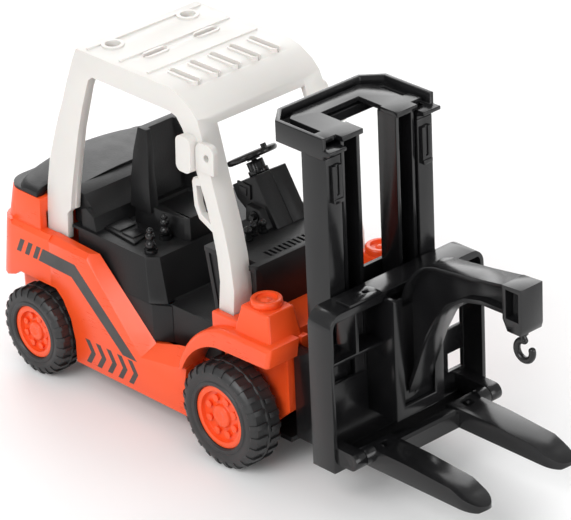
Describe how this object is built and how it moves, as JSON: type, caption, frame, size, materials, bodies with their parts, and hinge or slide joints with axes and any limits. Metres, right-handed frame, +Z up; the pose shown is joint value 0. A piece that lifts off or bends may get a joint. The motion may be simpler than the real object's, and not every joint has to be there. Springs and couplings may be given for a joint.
{
  "type": "toy forklift truck",
  "caption": "Toy forklift with a folding fork, sliding mast and a plug-in crane jib with a swivel hook.",
  "frame": {"origin": "on the floor under the middle of the overall box, midway between the left and right tyres", "axes": "+X forward towards the fork tips, +Y to the driver's left, +Z up"},
  "size_m": [0.2302, 0.082, 0.1282],
  "materials": {
    "orange_body": "satin",
    "orange_disc": "satin",
    "white_guard": "satin",
    "black_textured": "satin",
    "black_gloss": "satin",
    "tyre_rubber": "matte",
    "steel_pin": "satin",
    "gear_nylon": "satin",
    "lead_zinc": "rough"
  },
  "bodies": {
    "chassis": {"body_shell": "orange_body", "counterweight": "orange_body", "lamp_stud_left": "orange_body", "lamp_stud_right": "orange_body", "base_plate": "black_textured", "base_screws": "steel_pin", "screw_bosses": "orange_body", "engine_cover": "black_textured", "cab_tub": "black_textured", "seat": "black_textured", "console_plate": "black_textured", "side_lever_front": "black_gloss", "side_lever_rear": "black_gloss", "cowl_levers": "black_gloss", "dash_pod_left": "black_textured", "dash_pod_right": "black_textured", "dash_gauge": "black_textured", "dash_knob": "black_gloss", "steering_column": "black_gloss", "overhead_guard": "white_guard", "drive_frame_left": "black_textured", "drive_frame_right": "black_textured", "drive_lid": "black_textured", "mast_bracket": "black_gloss", "mast_screws": "steel_pin", "outer_mast": "black_gloss", "mast_cap": "black_gloss", "mast_clip_left": "black_gloss", "mast_clip_right": "black_gloss"},
    "front_wheels": {"front_axle": "steel_pin", "front_disc_left": "orange_disc", "front_disc_right": "orange_disc", "front_tyre_left": "tyre_rubber", "front_tyre_right": "tyre_rubber"},
    "rear_wheels": {"rear_axle": "steel_pin", "axle_gear": "gear_nylon", "rear_disc_left": "orange_disc", "rear_disc_right": "orange_disc", "rear_tyre_left": "tyre_rubber", "rear_tyre_right": "tyre_rubber"},
    "idler": {"idler_gear": "gear_nylon", "idler_shaft": "steel_pin"},
    "flywheel_set": {"flywheel": "lead_zinc", "flywheel_pinion": "gear_nylon", "flywheel_shaft": "steel_pin"},
    "steering": {"steering_wheel": "black_gloss"},
    "inner_mast_slide": {"inner_mast": "black_gloss"},
    "carriage_slide": {"carriage": "black_gloss", "socket_plate": "black_gloss", "lock_block": "black_gloss", "hinge_pin_left": "black_gloss", "hinge_pin_right": "black_gloss"},
    "forks": {"fork_frame": "black_gloss"},
    "crane": {"crane_arm": "black_gloss"},
    "hook": {"crane_hook": "black_gloss"}
  },
  "joints": [
    {"name": "front_axle_spin", "type": "hinge", "parent": "chassis", "child": "front_wheels", "pos_m": [0.0074, 0, 0.019], "axis": [0, 1, 0], "continuous": true},
    {"name": "rear_axle_spin", "type": "hinge", "parent": "chassis", "child": "rear_wheels", "pos_m": [-0.0898, 0, 0.0163], "axis": [0, 1, 0], "continuous": true},
    {"name": "idler_spin", "type": "hinge", "parent": "chassis", "child": "idler", "pos_m": [-0.08164, 0, 0.0201], "axis": [0, 1, 0], "continuous": true},
    {"name": "flywheel_spin", "type": "hinge", "parent": "chassis", "child": "flywheel_set", "pos_m": [-0.07337, 0, 0.02156], "axis": [0, 1, 0], "continuous": true},
    {"name": "steering_turn", "type": "hinge", "parent": "chassis", "child": "steering", "pos_m": [-0.0237, 0.0075, 0.089], "axis": [-0.515, 0, 0.8572], "continuous": true},
    {"name": "inner_mast_lift", "type": "slide", "parent": "chassis", "child": "inner_mast_slide", "axis": [0, 0, 1], "range_m": [0, 0.055]},
    {"name": "carriage_lift", "type": "slide", "parent": "chassis", "child": "carriage_slide", "axis": [0, 0, 1], "range_m": [0, 0.032]},
    {"name": "fork_fold", "type": "hinge", "parent": "carriage_slide", "child": "forks", "pos_m": [0.064, 0, 0.021], "axis": [0, -1, 0], "range_deg": [0, 90]},
    {"name": "crane_lift_out", "type": "slide", "parent": "carriage_slide", "child": "crane", "axis": [0, 0, 1], "range_m": [0, 0.036]},
    {"name": "hook_swivel", "type": "hinge", "parent": "crane", "child": "hook", "pos_m": [0.1096, 0, 0.07], "axis": [0, 0, 1], "continuous": true}
  ],
  "couplings": [
    {"joint": "idler_spin", "follows": "rear_axle_spin", "ratio": -2},
    {"joint": "flywheel_spin", "follows": "rear_axle_spin", "ratio": 5}
  ]
}
